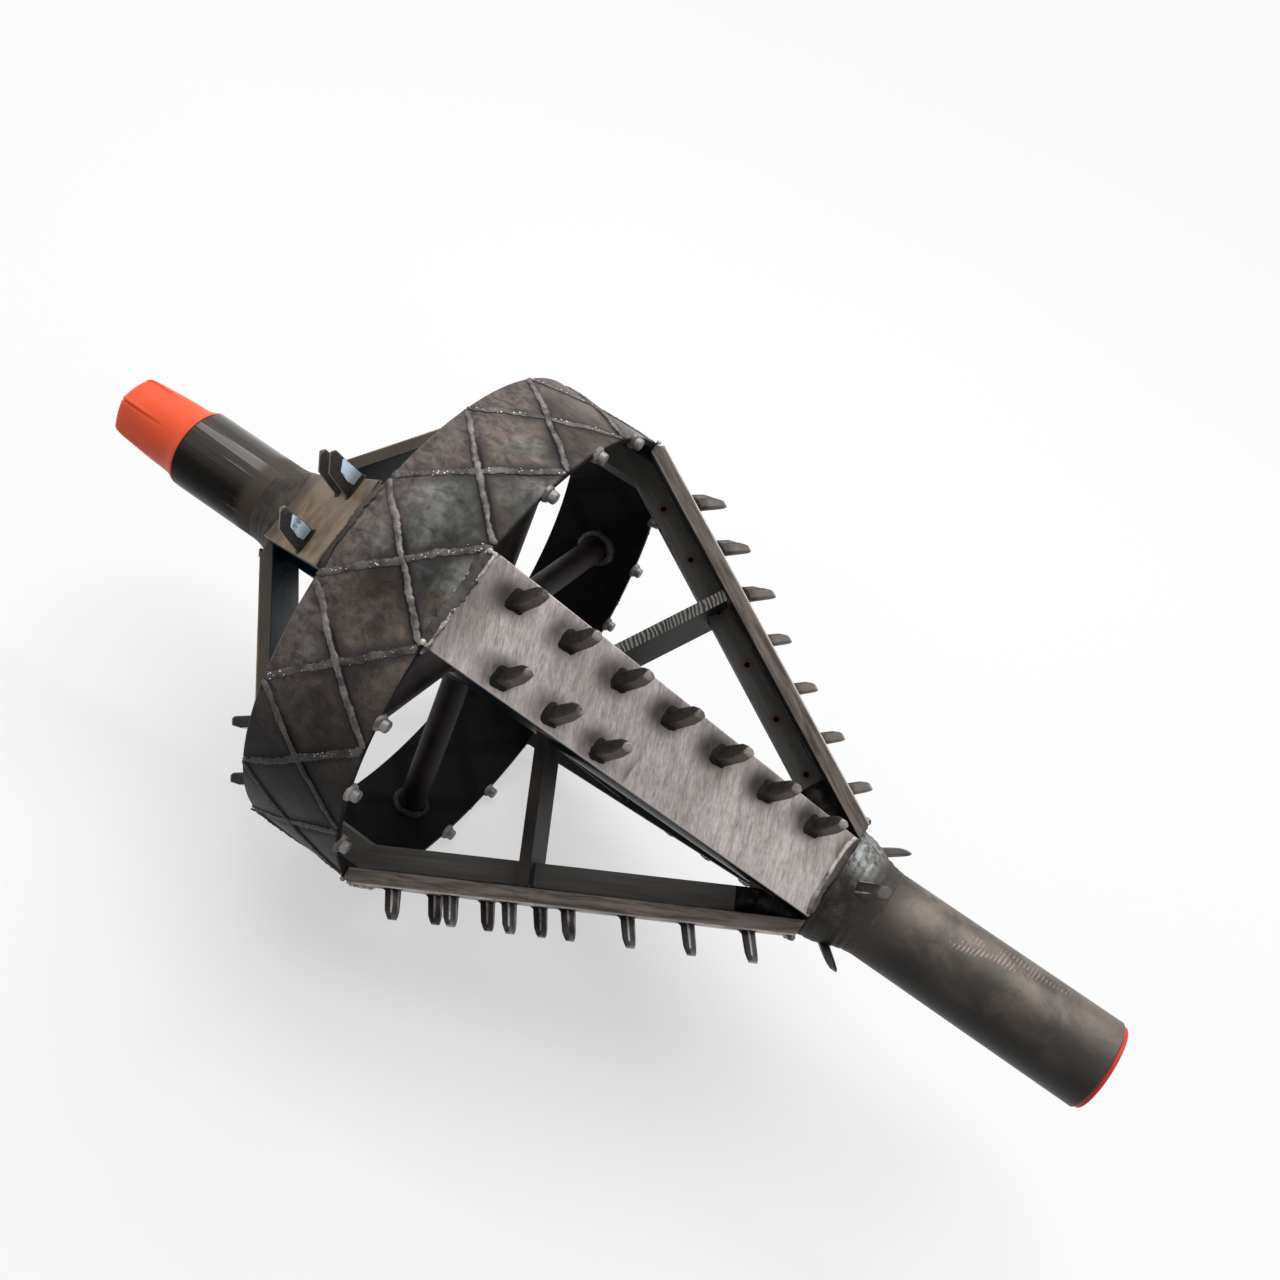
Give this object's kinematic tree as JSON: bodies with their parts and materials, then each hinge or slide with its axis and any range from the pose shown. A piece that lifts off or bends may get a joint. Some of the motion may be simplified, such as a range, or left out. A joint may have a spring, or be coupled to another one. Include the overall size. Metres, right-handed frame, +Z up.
{
  "type": "hole opener",
  "caption": "Barrel-type hole opener: a toothed ring and sloping wing plates welded round a drill-pipe body with a pin and a box end, both under plastic thread protectors.",
  "frame": {"origin": "centre of the box-end shoulder face", "axes": "+X along the tool's axis and out of the box end, +Z up as the tool lies on two studs of the ring"},
  "size_m": [1.669, 0.75, 0.75],
  "materials": {
    "black_paint": "glossy black paint with a brown cast",
    "dark_steel": "dark mill scale and paint",
    "shaft_steel": "turned steel, oiled, scuffed",
    "band_steel": "rolled plate, heat-tinted, with hardfacing beads",
    "wing_steel": "ground bright, cross-brushed",
    "rear_steel": "brown heat-tinted plate",
    "cut_steel": "flat bar with flame-cut edges",
    "weld_metal": "rough weld metal",
    "tooth_steel": "dark forged steel, worn bright on the edges",
    "stud_metal": "grey sintered studs",
    "orange_plastic": "satin moulded plastic, orange red",
    "red_plastic": "satin moulded plastic, red"
  },
  "bodies": {
    "tool": {"pin_sub": "black_paint", "centre_pipe": "dark_steel", "box_sub": "shaft_steel", "ring_band": "band_steel", "spoke_tube_1": "dark_steel", "spoke_tube_2": "dark_steel", "spoke_tube_3": "dark_steel", "spoke_tube_4": "dark_steel", "wing_plate_1": "wing_steel", "wing_plate_2": "wing_steel", "wing_plate_3": "wing_steel", "wing_plate_4": "wing_steel", "rear_plate_1": "rear_steel", "rear_plate_2": "rear_steel", "rear_plate_3": "rear_steel", "rear_plate_4": "rear_steel", "wing_mud_pipe_1": "dark_steel", "wing_mud_pipe_2": "dark_steel", "wing_mud_pipe_3": "dark_steel", "wing_mud_pipe_4": "dark_steel", "wing_strut_1": "cut_steel", "wing_strut_2": "cut_steel", "wing_strut_3": "cut_steel", "wing_strut_4": "cut_steel", "rear_collar": "weld_metal", "nose_collar": "weld_metal", "wing_teeth_1": "tooth_steel", "wing_teeth_2": "tooth_steel", "wing_teeth_3": "tooth_steel", "wing_teeth_4": "tooth_steel", "rear_teeth_1": "tooth_steel", "rear_teeth_2": "tooth_steel", "rear_teeth_3": "tooth_steel", "rear_teeth_4": "tooth_steel", "nose_teeth": "tooth_steel", "ring_studs": "stud_metal"},
    "pin_protector": {"pin_protector": "orange_plastic"},
    "box_protector": {"box_protector": "red_plastic"}
  },
  "joints": [
    {"name": "pin_protector_pull", "type": "slide", "parent": "tool", "child": "pin_protector", "axis": [-1, 0, 0], "range_m": [0, 0.16]},
    {"name": "box_protector_pull", "type": "slide", "parent": "tool", "child": "box_protector", "axis": [1, 0, 0], "range_m": [0, 0.12]}
  ]
}
